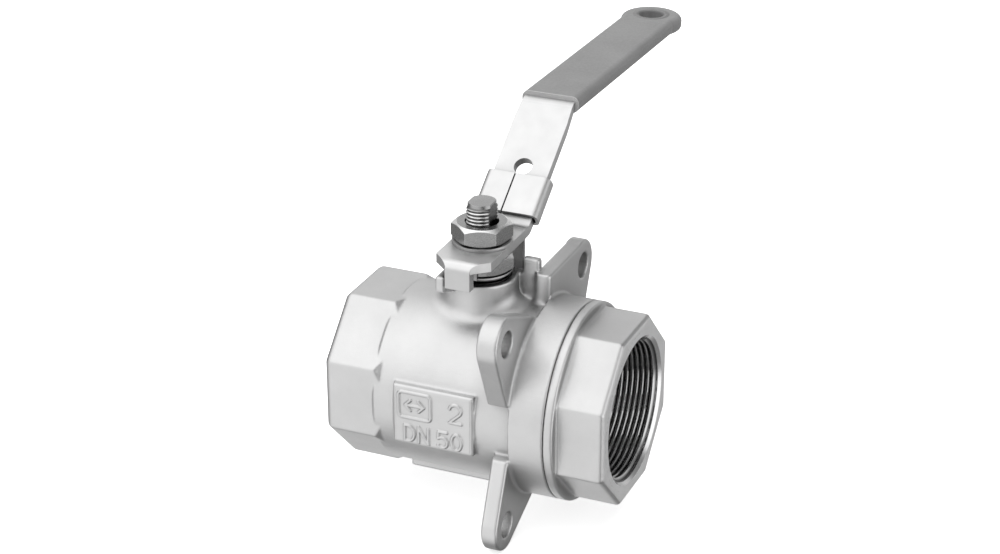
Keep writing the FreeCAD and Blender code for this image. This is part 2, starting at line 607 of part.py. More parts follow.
def lock_slide():
    """Sheet wrapped round the rising bar, seam on top, with a tongue that hangs down behind the neck."""
    half = LEVER_HALF_WIDTH + SLIDE_SIDE_GAP
    low, high = -LEVER_T - SLIDE_GAP, SLIDE_GAP
    s = SLIDE_SHEET
    end = SLIDE_AT + SLIDE_LENGTH
    outside = block(-half - s, half + s, SLIDE_AT, end, low - s, high + s)
    outside = softened(outside, SLIDE_EDGE_R[0], lambda e: e.BoundBox.YLength > SLIDE_LENGTH - NEAR)
    inside = block(-half, half, SLIDE_AT - MARGIN, end + MARGIN, low, high)
    inside = softened(inside, SLIDE_EDGE_R[1], lambda e: e.BoundBox.YLength > SLIDE_LENGTH)
    seam = block(SLIDE_SEAM_X - SLIDE_SEAM / 2, SLIDE_SEAM_X + SLIDE_SEAM / 2,
                 SLIDE_AT - MARGIN, end + MARGIN, 0, high + s + MARGIN)
    wrap = rise_frame(outside.cut([inside, seam]))
    end_y = RISE_START_Y + SLIDE_AT * math.cos(RISE) - (low - s) * math.sin(RISE)
    end_z = LEVER_TOP_Z + SLIDE_AT * math.sin(RISE) + (low - s) * math.cos(RISE)
    tongue = block(-TONGUE_HALF_WIDTH, TONGUE_HALF_WIDTH, end_y - s, end_y,
                   TONGUE_TIP_Z, end_z + TONGUE_OVERLAP)
    tongue = softened(tongue, TONGUE_EDGE_R, lambda e: e.BoundBox.YLength > s - NEAR
                      and e.CenterOfMass.z < TONGUE_TIP_Z + NEAR)
    bar_space = rise_frame(block(-half, half, 0, end, low, high))
    return wrap.fuse(tongue.cut(bar_space)).removeSplitter()


def nut(across_flats, height, z0, turn_deg):
    return hexagon(across_flats, height, z0, turn_deg).cut(
        post(THREAD_STUD_R, z0 - MARGIN, z0 + height + MARGIN))


def lever_washer():
    """Split spring washer under the lever nut."""
    z0, z1 = LEVER_TOP_Z, LEVER_TOP_Z + LEVER_WASHER_T
    half = LEVER_WASHER_SPLIT / 2
    blank = ring(LEVER_WASHER_R, THREAD_STUD_R + LOOSE_GAP, z0, z1)
    split = block(-half, half, 0, LEVER_WASHER_R + MARGIN, z0 - MARGIN, z1 + MARGIN)
    split.rotate(ORIGIN, AXIS_Z, LEVER_WASHER_SPLIT_DEG)
    return blank.cut(split)


def build():
    """Every piece by its node name."""
    bottom, chevrons, top, packing_top = packing()
    bar = lever()
    first_spring = GLAND_TOP_Z + RUNNING_GAP
    washer_z = first_spring + 2 * BELLEVILLE_H
    nut_z = washer_z + TAB_WASHER_T
    nut_h = LEVER_TOP_Z - LEVER_T - nut_z
    return {
        "body_casting": body_casting(),
        "end_cap": end_cap(),
        "body_gasket": gasket(),
        "inlet_seat": seat(-1),
        "outlet_seat": seat(1),
        "ball": ball(),
        "stem": stem(),
        "thrust_washer": ring(STEM_SHOULDER_R, STEM_R + FIT_GAP, SHOULDER_Z[1] + RUNNING_GAP,
                              SHOULDER_Z[1] + THRUST_WASHER_H),
        "antistatic_balls": antistatic_balls(),
        "antistatic_springs": antistatic_springs(),
        "packing_bottom_ring": bottom,
        "packing_chevrons": chevrons,
        "packing_top_ring": top,
        "gland_ring": ring(CHAMBER_R - FIT_GAP, STEM_R + FIT_GAP, packing_top, GLAND_TOP_Z),
        "lower_disc_spring": belleville(first_spring, True),
        "upper_disc_spring": belleville(first_spring + BELLEVILLE_H, False),
        "tab_washer": tab_washer(washer_z, GLAND_NUT_AF / 2 + FLAT_GAP),
        "gland_nut": nut(GLAND_NUT_AF, nut_h, nut_z, GLAND_NUT_TURN),
        "lever": bar,
        "lever_washer": lever_washer(),
        "lever_nut": nut(LEVER_NUT_AF, LEVER_NUT_H, LEVER_TOP_Z + LEVER_WASHER_T, LEVER_NUT_TURN),
        "grip_sleeve": grip_sleeve(bar),
        "lock_slide": lock_slide(),
    }


os.makedirs("parts", exist_ok=True)
for name, shape in build().items():
    shape.translate(MOVE_TO_ORIGIN)
    shape.exportStep("parts/" + name + ".step")
    print(name, "valid" if shape.isValid() else "NOT VALID", len(shape.Solids), round(shape.Volume, 1))
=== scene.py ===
"""Looks of the two-piece ball valve: cast skin, screw threads, markings, materials, light and camera.

Metres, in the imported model's frame: +X along the pipe, +Z up along the stem, +Y along the closed lever.
"""
import json
import math

import bmesh
import bpy
import numpy as np
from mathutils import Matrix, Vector


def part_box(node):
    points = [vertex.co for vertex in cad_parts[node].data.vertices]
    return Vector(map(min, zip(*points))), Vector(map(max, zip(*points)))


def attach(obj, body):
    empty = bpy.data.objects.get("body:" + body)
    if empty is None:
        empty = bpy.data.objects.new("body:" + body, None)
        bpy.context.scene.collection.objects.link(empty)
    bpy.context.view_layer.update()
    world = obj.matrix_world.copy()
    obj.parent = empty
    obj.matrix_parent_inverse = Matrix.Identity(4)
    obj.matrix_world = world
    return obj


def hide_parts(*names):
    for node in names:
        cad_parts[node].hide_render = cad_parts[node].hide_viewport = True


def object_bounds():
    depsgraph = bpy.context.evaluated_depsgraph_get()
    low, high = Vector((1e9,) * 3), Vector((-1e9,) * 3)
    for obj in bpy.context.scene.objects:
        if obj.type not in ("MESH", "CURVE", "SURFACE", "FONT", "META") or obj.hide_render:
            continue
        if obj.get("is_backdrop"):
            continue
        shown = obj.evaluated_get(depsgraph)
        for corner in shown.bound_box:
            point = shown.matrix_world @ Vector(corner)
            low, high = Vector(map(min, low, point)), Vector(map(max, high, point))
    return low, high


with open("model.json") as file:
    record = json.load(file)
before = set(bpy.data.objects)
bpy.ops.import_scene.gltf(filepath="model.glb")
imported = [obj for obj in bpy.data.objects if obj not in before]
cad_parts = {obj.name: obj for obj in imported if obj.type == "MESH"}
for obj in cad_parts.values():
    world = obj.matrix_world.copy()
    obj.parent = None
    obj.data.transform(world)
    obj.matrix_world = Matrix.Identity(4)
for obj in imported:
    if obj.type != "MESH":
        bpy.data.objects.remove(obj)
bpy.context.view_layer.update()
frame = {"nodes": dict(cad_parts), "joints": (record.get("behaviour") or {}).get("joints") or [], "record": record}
NODES = frame["nodes"]
MM = 0.001

# What the frame says.
MOUNTS = {mount["name"]: mount for mount in frame["record"]["mounts"]}
JOINTS = {joint["name"]: joint for joint in frame["joints"]}
BODY_OF = {node: body for body, nodes in frame["record"]["behaviour"]["bodies"].items() for node in nodes}
SLOT_OF = {part["node"]: part["material_slot"] for part in frame["record"]["subparts"]}
STEM_AXIS = Vector(JOINTS["lever_turn"]["pos_m"])
OUTLET = MOUNTS["outlet_thread"]
OUTLET_FACE_X = OUTLET["pos_m"][0]
THREAD_ROOT_R = OUTLET["dims"]["r_mm"] * MM
THREAD_LENGTH = OUTLET["dims"]["length_mm"] * MM
STEM_TOP_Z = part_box("stem")[1].z
NUT_TOP_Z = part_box("lever_nut")[1].z
GRIP_START_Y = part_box("grip_sleeve")[0].y

# Screw threads.
PIPE_PITCH = 2.309 * MM
THREAD_DEPTH = 1.479 * MM
STEM_PITCH = 1.5 * MM
STEM_CREST_R = 7.0 * MM
STEM_THREAD_DEPTH = 0.85 * MM

# Machined mouths.
MOUTH_R = 31.1 * MM                      # the countersink's outer edge
MACHINED_R = 33.6 * MM                   # the mouths are turned out to here
COUNTERSINK = 1.27 * MM
MOUTH_SINK = 0.15 * MM                   # the skin stays this far behind the turned surfaces


# ---------------------------------------------------------------- material helpers

class Nodes:
    """A new node material and short calls to wire it."""

    def __init__(self, name):
        self.material = bpy.data.materials.new(name)
        self.material.use_nodes = True
        self.tree = self.material.node_tree
        self.shader = self.tree.nodes["Principled BSDF"]
        self.place = self.add("ShaderNodeTexCoord").outputs["Object"]

    def add(self, kind, **values):
        """New node; each value is one of its settings or, with _ for a space, one of its inputs."""
        node = self.tree.nodes.new(kind)
        for key, value in values.items():
            if hasattr(node, key):
                setattr(node, key, value)
            else:
                node.inputs[key.replace("_", " ")].default_value = value
        return node

    def link(self, output, target):
        self.tree.links.new(output, target)

    def noise(self, scale, detail=4.0, roughness=0.55, stretch=(1, 1, 1)):
        mapping = self.add("ShaderNodeMapping")
        mapping.inputs["Scale"].default_value = stretch
        self.link(self.place, mapping.inputs["Vector"])
        noise = self.add("ShaderNodeTexNoise", Scale=scale, Detail=detail, Roughness=roughness)
        self.link(mapping.outputs["Vector"], noise.inputs["Vector"])
        return noise.outputs["Fac"]

    def component(self, vector, axis):
        split = self.add("ShaderNodeSeparateXYZ")
        self.link(vector, split.inputs["Vector"])
        return split.outputs[axis]

    def facing(self, axis, normal="True Normal"):
        """How far the surface points along axis, from -1 to 1."""
        return self.component(self.add("ShaderNodeNewGeometry").outputs[normal], axis)

    def reach(self, point, across):
        """Distance from point, counted only along the axes where across is 1."""
        offset = self.add("ShaderNodeVectorMath", operation="SUBTRACT")
        flat = self.add("ShaderNodeVectorMath", operation="MULTIPLY")
        size = self.add("ShaderNodeVectorMath", operation="LENGTH")
        self.link(self.place, offset.inputs[0])
        offset.inputs[1].default_value = point
        self.link(offset.outputs["Vector"], flat.inputs[0])
        flat.inputs[1].default_value = across
        self.link(flat.outputs["Vector"], size.inputs[0])
        return size.outputs["Value"]

    def spread(self, fac, low, high, start=0.3, end=0.7):
        """fac, from start to end, turned into a number from low to high."""
        ramp = self.add("ShaderNodeMapRange")
        ramp.inputs["From Min"].default_value = start
        ramp.inputs["From Max"].default_value = end
        ramp.inputs["To Min"].default_value = low
        ramp.inputs["To Max"].default_value = high
        self.link(fac, ramp.inputs["Value"])
        return ramp.outputs["Result"]

    def bands(self, fac, stops):
        """fac turned into a colour that runs through (place, colour) stops, where a number is a grey."""
        ramp = self.add("ShaderNodeValToRGB")
        elements = ramp.color_ramp.elements
        while len(elements) < len(stops):
            elements.new(0.5)
        for element, (place, colour) in zip(elements, stops):
            element.position = place
            element.color = (*np.broadcast_to(colour, 3), 1)
        self.link(fac, ramp.inputs["Fac"])
        return ramp.outputs["Color"]

    def blend(self, fac, dark, light, start=0.3, end=0.7):
        """fac, from start to end, turned into a colour or grey from dark to light."""
        return self.bands(fac, [(start, dark), (end, light)])

    def scaled(self, colour, factor):
        scale = self.add("ShaderNodeVectorMath", operation="SCALE")
        self.link(colour, scale.inputs[0])
        self.link(factor, scale.inputs["Scale"])
        return scale.outputs["Vector"]

    def shaded(self, colour, distance, darkest):
        """colour with painted shade: darker where other surfaces stand within distance."""
        near = self.add("ShaderNodeAmbientOcclusion", samples=6, Distance=distance)
        return self.scaled(colour, self.spread(near.outputs["AO"], darkest, 1.0, start=0.15, end=0.90))

    def bump(self, height, distance, strength=1.0, after=None):
        bump = self.add("ShaderNodeBump", Distance=distance, Strength=strength)
        self.link(height, bump.inputs["Height"])
        if after:
            self.link(after, bump.inputs["Normal"])
        return bump.outputs["Normal"]

    def eased(self, radius):
        """Normal of a surface whose edges are rounded by radius."""
        return self.add("ShaderNodeBevel", samples=6, Radius=radius).outputs["Normal"]

    def finish(self, colour, roughness, normal, metallic=1.0):
        self.shader.inputs["Metallic"].default_value = metallic
        self.link(colour, self.shader.inputs["Base Color"])
        self.link(roughness, self.shader.inputs["Roughness"])
        self.link(normal, self.shader.inputs["Normal"])
        return self.material


# ---------------------------------------------------------------- materials

def steel(name, shades, gloss, grain, depth, stretch=(1, 1, 1), painted_light=()):
    """Bare steel: cloudy colour with painted shade near other surfaces, uneven gloss, eased edges and a fine
    grain, stretched where brushed.

    Each entry of painted light is an axis and how the colour's strength, painted lighter or darker, spreads with
    the surface's direction along it.
    """
    n = Nodes(name)
    colour = n.shaded(n.blend(n.noise(scale=60.0, detail=3.0), *shades), distance=14.0 * MM, darkest=0.12)
    for axis, *spread in painted_light:
        colour = n.scaled(colour, n.spread(n.facing(axis), *spread))
    fine = n.noise(grain, detail=5.0, roughness=0.6, stretch=stretch)
    normal = n.bump(fine, depth, after=n.eased(0.25 * MM))
    return n.finish(colour, n.spread(n.noise(scale=210.0, detail=3.0), *gloss), normal)


def thread_steel(name, axis, across, root, crest, shades):
    """Cut thread: painted shade in its roots and a painted highlight on its crests; root and crest are radii about
    axis.
    """
    n = Nodes(name)
    height = n.spread(n.reach(axis, across), 0.0, 1.0, start=root, end=crest)
    fine = n.noise(scale=900.0)
    normal = n.bump(fine, distance=0.01 * MM, after=n.eased(0.1 * MM))
    return n.finish(n.blend(height, *shades, start=0.25, end=0.8), n.spread(fine, 0.18, 0.28), normal)


def nut_steel(name, side, end, chamfer=0.95):
    """Forged nut: brushed sides, duller round ends and cut chamfers between them, with a painted highlight on the
    chamfers.
    """
    n = Nodes(name)
    # By how far a face points up; the near-white chamfer band is a painted highlight.
    stops = [(0.0, side), (0.76, side), (0.80, chamfer), (0.93, chamfer), (0.96, end)]
    fine = n.noise(scale=500.0, detail=5.0, roughness=0.6, stretch=(1, 1, 8))
    normal = n.bump(fine, distance=0.02 * MM, after=n.eased(0.3 * MM))
    return n.finish(n.bands(n.facing("Z"), stops), n.spread(fine, 0.22, 0.34), normal)


def cast_steel():
    """Bead-blasted casting: fine pits over a faint orange peel, with painted shade darkening its inner corners."""
    n = Nodes("cast_stainless")
    pits = n.noise(scale=2300.0, detail=3.0, roughness=0.65)
    peel = n.noise(scale=380.0, detail=3.0, roughness=0.5)
    colour = n.shaded(n.blend(n.noise(scale=45.0), 0.70, 0.77), distance=12.0 * MM, darkest=0.3)
    normal = n.bump(pits, 0.09 * MM, 0.8, after=n.bump(peel, 0.10 * MM, 0.5))
    return n.finish(colour, n.spread(pits, 0.34, 0.46), normal)


def vinyl():
    """Dipped vinyl: grey with a fine leathery skin, painted shade on its sides, a painted highlight on its rolled
    lip and a bead round the hanging hole.
    """
    n = Nodes("vinyl")
    skin = n.noise(scale=900.0)
    colour = n.blend(n.noise(scale=50.0, detail=3.0), 0.185, 0.215)
    # Painted shade: the sides are darker than the top.
    colour = n.scaled(colour, n.spread(n.facing("Z", "Normal"), 0.70, 1.0, start=0.1, end=0.9))
    # Painted highlight: the colour is brightened along the rolled lip at the sleeve's start.
    lip_highlight = n.spread(n.component(n.place, "Y"), 2.2, 1.0,
                        start=GRIP_START_Y + 0.5 * MM, end=GRIP_START_Y + 1.0 * MM)
    radius = n.reach(MOUNTS["hanging_hole"]["pos_m"], across=(1, 1, 0))
    bead_stops = [(0.54, 0.0), (0.70, 1.0), (0.86, 0.0)]        # places along 10 mm from the hole's centre
    bead = n.bands(n.spread(radius, 0.0, 1.0, start=0.0, end=10.0 * MM), bead_stops)
    normal = n.bump(bead, 1.6 * MM, 0.8, after=n.bump(skin, 0.08 * MM, 0.5))
    return n.finish(n.scaled(colour, lip_highlight), n.spread(skin, 0.36, 0.50), normal, metallic=0.0)


def ptfe():
    """Pressed PTFE: smooth and a faintly warm white."""
    n = Nodes("ptfe")
    cloud = n.noise(scale=120.0, detail=3.0)
    colour = n.blend(cloud, (0.80, 0.79, 0.75), (0.86, 0.85, 0.82))
    normal = n.bump(n.noise(scale=800.0), 0.03 * MM, 0.4)
    return n.finish(colour, n.spread(cloud, 0.35, 0.5), normal, metallic=0.0)


# Painted light and shade, by direction in the world: level faces are painted brighter, and a face towards -Y
# is painted duller, which is the lever's bent-down end while the valve is closed. Turning the lever takes that
# end out of the second entry.
SHEET_PAINTED_LIGHT = [("Z", 0.82, 1.0, 0.75, 0.95), ("Y", 0.86, 1.0, -0.98, -0.88)]
STEELS = {                                    # shades, gloss, the grain's scale, depth and stretch, painted light by facing
    "machined_stainless": ((0.42, 0.54), (0.20, 0.32), 500.0, 0.02 * MM, (1, 1, 8)),
    "sheet_stainless": ((0.87, 0.93), (0.34, 0.44), 600.0, 0.015 * MM, (1, 0.15, 1), SHEET_PAINTED_LIGHT),
    "polished_stainless": ((0.68, 0.74), (0.08, 0.14), 900.0, 0.005 * MM),
    "spring_steel": ((0.26, 0.34), (0.26, 0.40), 700.0, 0.02 * MM),
    "cut_stainless": ((0.90, 0.96), (0.20, 0.28), 600.0, 0.01 * MM),
    "turned_stainless": ((0.88, 0.95), (0.56, 0.68), 300.0, 0.01 * MM, (6, 1, 1)),
}
MATERIALS = {name: steel(name, *values) for name, values in STEELS.items()}
MATERIALS.update({"cast_stainless": cast_steel(), "ptfe": ptfe(), "vinyl": vinyl()})
PIPE_THREAD_STEEL = thread_steel("threaded_stainless", (0, 0, 0), (0, 1, 1), THREAD_ROOT_R,
                                 THREAD_ROOT_R - THREAD_DEPTH, shades=(0.12, 0.72))
# The stem's flats and domed top lie inside the root radius and get the roots' dark colour too.
STEM_THREAD_STEEL = thread_steel("stud_stainless", STEM_AXIS, (1, 1, 0), 6.2 * MM, 6.95 * MM,
                                 shades=(0.19, 0.88))


def paint(obj, *materials):
    obj.data.materials.clear()
    for material in materials:
        obj.data.materials.append(material)


for node_name, node in NODES.items():
    paint(node, MATERIALS[SLOT_OF[node_name]])
paint(NODES["lever_nut"], nut_steel("nut_stainless", side=0.52, end=0.42))
# The gland nut, in the lever's shadow, is a darker copy of the nut finish: painted shade.
paint(NODES["gland_nut"], nut_steel("gland_nut_stainless", side=0.30, end=0.30))
paint(NODES["lever_washer"], MATERIALS["sheet_stainless"])


# ---------------------------------------------------------------- mesh helpers

def mesh_object(name, points, faces, material, body):
    mesh = bpy.data.meshes.new(name)
    mesh.from_pydata([tuple(p) for p in points], [], faces)
    mesh.validate()
    mesh.shade_smooth()
    obj = bpy.data.objects.new(name, mesh)
    bpy.context.scene.collection.objects.link(obj)
    paint(obj, material)
    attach(obj, body)
    return obj


def ring(x, radii):
    """Points round the pipe's axis at x, evenly spread, each at its own radius."""
    angles = [2 * math.pi * j / len(radii) for j in range(len(radii))]
    return [(x, radius * math.cos(angle), radius * math.sin(angle)) for radius, angle in zip(radii, angles)]


def ring_faces(rings, columns, first=0, closed=False):
    """Faces between rings of points, numbered from first on; closed joins the last ring to the first."""
    faces = []
    for i in range(rings if closed else rings - 1):
        here = first + i * columns
        there = first + (i + 1) % rings * columns
        for j in range(columns):
            beside = (j + 1) % columns
            faces.append((here + j, here + beside, there + beside, there + j))
    return faces


def tidy_normals(obj, sharp_deg):
    """Faces outward, with edges sharper than sharp_deg left crisp."""
    bm = bmesh.new()
    bm.from_mesh(obj.data)
    bmesh.ops.recalc_face_normals(bm, faces=bm.faces)
    limit = math.radians(sharp_deg)
    for edge in bm.edges:
        edge.smooth = not (edge.is_manifold and edge.calc_face_angle(0.0) > limit)
    bm.to_mesh(obj.data)
    bm.free()


# ---------------------------------------------------------------- screw threads and machined mouths

def ridge(phase, flat=0.16):
    """Height from 0 to 1 of a screw thread's section over one pitch, with small flats at crest and root."""
    slope = abs((phase % 1.0) * 2.0 - 1.0)
    return min(max((slope - flat) / (1.0 - 2.0 * flat), 0.0), 1.0)


def pipe_thread(name, face_x, inward):
    """Internal pipe thread with a chamfered mouth; inward is 1 where the port runs along +X."""
    columns, steps_per_pitch = 144, 10
    run_out_length = 1.5 * PIPE_PITCH
    back_radii = [MOUTH_R + 0.6 * MM] * columns
    first_x = face_x + inward * 0.05 * MM
    steps = int(THREAD_LENGTH / PIPE_PITCH * steps_per_pitch)
    rings = []
    for i in range(steps + 1):
        depth = i / steps * THREAD_LENGTH
        x = first_x + inward * depth
        run_out = min(1.0, (THREAD_LENGTH - depth) / run_out_length)
        grooves = [(1.0 - ridge(x / PIPE_PITCH - j / columns)) * run_out for j in range(columns)]
        radii = [max(THREAD_ROOT_R - THREAD_DEPTH * (1.0 - groove), MOUTH_R - depth) for groove in grooves]
        rings.append(ring(x, radii))
    rings += [ring(first_x + inward * THREAD_LENGTH, back_radii), ring(first_x, back_radii)]
    points = [point for row in rings for point in row]
    faces = ring_faces(len(rings), columns, closed=True)
    obj = mesh_object(name, points, faces, PIPE_THREAD_STEEL, "valve_body")
    tidy_normals(obj, 50)


def mouth_ring(name, face_x, inward):
    """Turned face and countersink of a mouth, crisp over the softened skin."""
    columns = 240
    wall = 0.3 * MM
    profile = [(0.0, MACHINED_R), (0.0, MOUTH_R), (COUNTERSINK, MOUTH_R - COUNTERSINK),
               (COUNTERSINK, MOUTH_R + wall), (wall, MACHINED_R)]
    points = []
    for depth, radius in profile:
        points += ring(face_x + inward * depth, [radius] * columns)
    faces = ring_faces(len(profile), columns, closed=True)
    obj = mesh_object(name, points, faces, MATERIALS["turned_stainless"], "valve_body")
    obj.data.materials.append(MATERIALS["cut_stainless"])
    for face in obj.data.polygons:
        face.material_index = int(columns <= face.index < 2 * columns)      # the countersink's own row
    tidy_normals(obj, 20)


def stem_thread():
    """Threaded end of the stem above its nut, with two flats and a domed top."""
    columns, steps_per_pitch, dome_rings = 96, 12, 9
    half_width = 5.02 * MM                   # to the flats
    dome, dome_r = 0.9 * MM, 5.3 * MM
    chamfer_slope = 1.1
    low_z, high_z = NUT_TOP_Z - 2.0 * MM, STEM_TOP_Z - dome
    steps = round((high_z - low_z) / STEM_PITCH * steps_per_pitch)
    rings = []
    for i in range(steps + 1):
        z = low_z + (high_z - low_z) * i / steps
        chamfer_r = dome_r + (high_z - z) * chamfer_slope
        grooves = [1.0 - ridge(z / STEM_PITCH - j / columns) for j in range(columns)]
        radii = [min(STEM_CREST_R - STEM_THREAD_DEPTH * groove, chamfer_r) for groove in grooves]
        rings.append((z, radii))
    for k in range(1, dome_rings):
        tilt = math.radians(90 * k / dome_rings)
        rings.append((high_z + dome * math.sin(tilt), [dome_r * math.cos(tilt)] * columns))

    points = [(STEM_AXIS.x, STEM_AXIS.y, low_z)]
    for z, radii in rings:
        for _, across, along in ring(z, radii):
            across = min(max(across, -half_width), half_width)
            points.append((STEM_AXIS.x + across, STEM_AXIS.y + along, z))
    points.append((STEM_AXIS.x, STEM_AXIS.y, STEM_TOP_Z))

    top = 1 + (len(rings) - 1) * columns
    faces = [(0, 1 + (j + 1) % columns, 1 + j) for j in range(columns)]
    faces += ring_faces(len(rings), columns, first=1)
    faces += [(top + j, top + (j + 1) % columns, top + columns) for j in range(columns)]
    obj = mesh_object("stem_thread", points, faces, STEM_THREAD_STEEL,
                      "lever_and_stem")
    tidy_normals(obj, 30)


pipe_thread("inlet_pipe_thread", 0.0, 1)
pipe_thread("outlet_pipe_thread", OUTLET_FACE_X, -1)
mouth_ring("inlet_mouth", 0.0, 1)
mouth_ring("outlet_mouth", OUTLET_FACE_X, -1)
stem_thread()


# ---------------------------------------------------------------- cast skins

EASING = (0.55, -0.35) * 3               # in and out in turn, so that walls keep their thickness
FILLING = (0.6,) * 50
MOUTH_EASING = 0.3                       # the share of the easing that a machined mouth gets
MOUTH_DEPTH = 3.0 * MM


def remeshed(name, source, voxel):
    """New object with the shape of source, in even voxels."""
    obj = bpy.data.objects.new(name, source.data.copy())
    bpy.context.scene.collection.objects.link(obj)
    remesh = obj.modifiers.new("skin", "REMESH")
    remesh.mode = "VOXEL"
    remesh.voxel_size = voxel
    mesh = bpy.data.meshes.new_from_object(obj.evaluated_get(bpy.context.evaluated_depsgraph_get()))
    obj.modifiers.clear()
    obj.data = mesh
    return obj


def mesh_arrays(mesh):
    """Places of a mesh's points, and the two ends of each of its edges."""
    places = np.zeros(len(mesh.vertices) * 3)
    ends = np.zeros(len(mesh.edges) * 2, int)
    mesh.vertices.foreach_get("co", places)
    mesh.edges.foreach_get("vertices", ends)
    return places.reshape(-1, 3), ends.reshape(-1, 2)


def relaxed(places, ends, weight, pulls):
    """Points moved towards their neighbours' mean by each pull in turn; a negative pull moves them away."""
    count = len(places)
    near, far = ends.T
    degree = np.bincount(ends.ravel(), minlength=count)[:, None]
    for pull in pulls:
        total = np.stack([np.bincount(near, places[far, axis], count)
                          + np.bincount(far, places[near, axis], count) for axis in range(3)], 1)
        places = places + pull * weight[:, None] * (total / degree - places)
    return places


def softened(places, ends, depth, hollows):
    """Rounded edges and filled inner corners, with the mouth's edges kept sharper.

    depth is each point's depth behind the mouth; hollows are boxes whose inner corners are filled further.
    """
    mouth = (np.hypot(places[:, 1], places[:, 2]) < MACHINED_R) & (depth < MOUTH_DEPTH)
    places = relaxed(places, ends, np.where(mouth, MOUTH_EASING, 1.0), EASING)
    for low, high in hollows:
        inside = np.clip((places - low) / MM, 0, 1) * np.clip((high - places) / MM, 0, 1)
        places = relaxed(places, ends, inside.prod(axis=1), FILLING)
    return places


def sink_mouth(places, face_x, outward):
    """Draws the mouth's points back behind the turned face and countersink that mouth_ring makes."""
    margin, most = 0.2 * MM, 1.6 * MM
    radius = np.hypot(places[:, 1], places[:, 2])
    depth = (face_x - places[:, 0]) * outward
    least = np.clip(MOUTH_R + MOUTH_SINK - radius, MOUTH_SINK, most)
    sunk = (radius < MACHINED_R - margin) & (radius > THREAD_ROOT_R - margin)
    places[:, 0] = np.where(sunk, face_x - outward * np.maximum(depth, least), places[:, 0])


def turn_mouth(mesh, face_x, outward):
    """Gives the second material to the mouth's flat face and to what slopes into the port."""
    flat, sloping, deepest = 0.95, 0.5, 2.0 * MM
    for face in mesh.polygons:
        facing = face.normal.x * outward
        near = (face_x - face.center.x) * outward < deepest
        if near and (facing > flat or facing > sloping and math.hypot(*face.center.yz) < MACHINED_R):
            face.material_index = 1


def cast_skin(name, node_name, voxel, face_x, outward, hollows=()):
    """A casting in place of its CAD solid, with a machined mouth; outward is its direction along X."""
    obj = remeshed(name, NODES[node_name], voxel)
    mesh = obj.data
    places, ends = mesh_arrays(mesh)
    places = softened(places, ends, (face_x - places[:, 0]) * outward, hollows)
    sink_mouth(places, face_x, outward)
    mesh.vertices.foreach_set("co", places.ravel())
    mesh.update()
    mesh.shade_smooth()
    paint(obj, MATERIALS[SLOT_OF[node_name]], MATERIALS["turned_stainless"])
    turn_mouth(mesh, face_x, outward)
    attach(obj, BODY_OF[node_name])
    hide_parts(node_name)


# Box round the corner where the lug's web meets the neck.
WEB_CORNER = (np.array((0.0705, -0.0005, 0.028)), np.array((0.0825, 0.0095, 0.0505)))
cast_skin("body_skin", "body_casting", 0.52 * MM, 0.0, -1, [WEB_CORNER])
cast_skin("cap_skin", "end_cap", 0.5 * MM, OUTLET_FACE_X, 1)


# ---------------------------------------------------------------- cast markings

PAD_LOW_X = STEM_AXIS.x - 22.6 * MM
PAD_WIDTH = 35.4 * MM
PAD_LOW_Z, PAD_TOP_Z = -14.0 * MM, 12.5 * MM
PAD_FACE_Y = -39.0 * MM
STROKE = 1.15 * MM
STROKE_SLOPE = 0.45 * MM                      # how far a stroke's side slopes out
RELIEF = 0.6 * MM
SHEET_LIFT = 0.05 * MM                        # the sheet lies this far over the pad's face
RIM_DEPTH = 0.3 * MM                          # and its rim goes this far into it


def arc(x, y, radius_x, radius_y, start, end, count=14):
    """Points on an ellipse from start to end degrees."""
    angles = [math.radians(start + (end - start) * k / count) for k in range(count + 1)]
    return [(x + radius_x * math.cos(a), y + radius_y * math.sin(a)) for a in angles]


GLYPHS = {                                    # strokes in a box 0.62 wide and 1 high
    "2": [arc(0.31, 0.70, 0.31, 0.30, 170, -38) + [(0.0, 0.0), (0.62, 0.0)]],
    "5": [[(0.58, 1.0), (0.07, 1.0), (0.04, 0.56)] + arc(0.29, 0.33, 0.33, 0.33, 128, -140)],
    "0": [arc(0.31, 0.5, 0.31, 0.5, 0, 360, 24)],
    "D": [[(0.0, 0.0), (0.0, 1.0)] + arc(0.2, 0.5, 0.42, 0.5, 90, -90) + [(0.0, 0.0)]],
    "N": [[(0.0, 0.0), (0.0, 1.0), (0.62, 0.0), (0.62, 1.0)]],
}


def glyph(letter, x, y, height):
    return [[(x + u * height, y + v * height) for u, v in stroke] for stroke in GLYPHS[letter]]


def rounded_frame(x0, y0, x1, y1, radius):
    corners = [(x1 - radius, y1 - radius, 0), (x0 + radius, y1 - radius, 90),
               (x0 + radius, y0 + radius, 180), (x1 - radius, y0 + radius, 270)]
    outline = [p for x, y, start in corners for p in arc(x, y, radius, radius, start, start + 90, 5)]
    return [outline + outline[:1]]


def pad_strokes():
    """A plain frame round a two-way flow arrow, the pipe's size, and the same size in millimetres."""
    left, right, middle, head = 5.6 * MM, 13.8 * MM, 4.1 * MM, 2.3 * MM      # of the arrow
    strokes = rounded_frame(2.6 * MM, -1.6 * MM, 16.8 * MM, 9.8 * MM, radius=1.6 * MM)
    strokes.append([(left, middle), (right, middle)])
    for tip, back in ((left, left + head), (right, right - head)):
        strokes.append([(back, middle + head), (tip, middle), (back, middle - head)])
    strokes += glyph("2", 25.2 * MM, 0.0, height=8.2 * MM)
    for letter, x in zip("DN50", (5.2, 11.4, 19.8, 26.0)):
        strokes += glyph(letter, x * MM, -12.2 * MM, height=7.0 * MM)
    return strokes


def stroke_distance(place, strokes):
    """Each place's distance to the nearest stroke."""
    nearest = np.full(place.shape[:2], 1.0)
    for stroke in strokes:
        for start, end in zip(stroke, stroke[1:]):
            start, along = np.array(start), np.array(end) - np.array(start)
            share = np.clip(((place - start) @ along) / max(along @ along, 1e-12), 0, 1)
            offset = place - start - share[..., None] * along
            nearest = np.minimum(nearest, np.linalg.norm(offset, axis=-1))
    return nearest


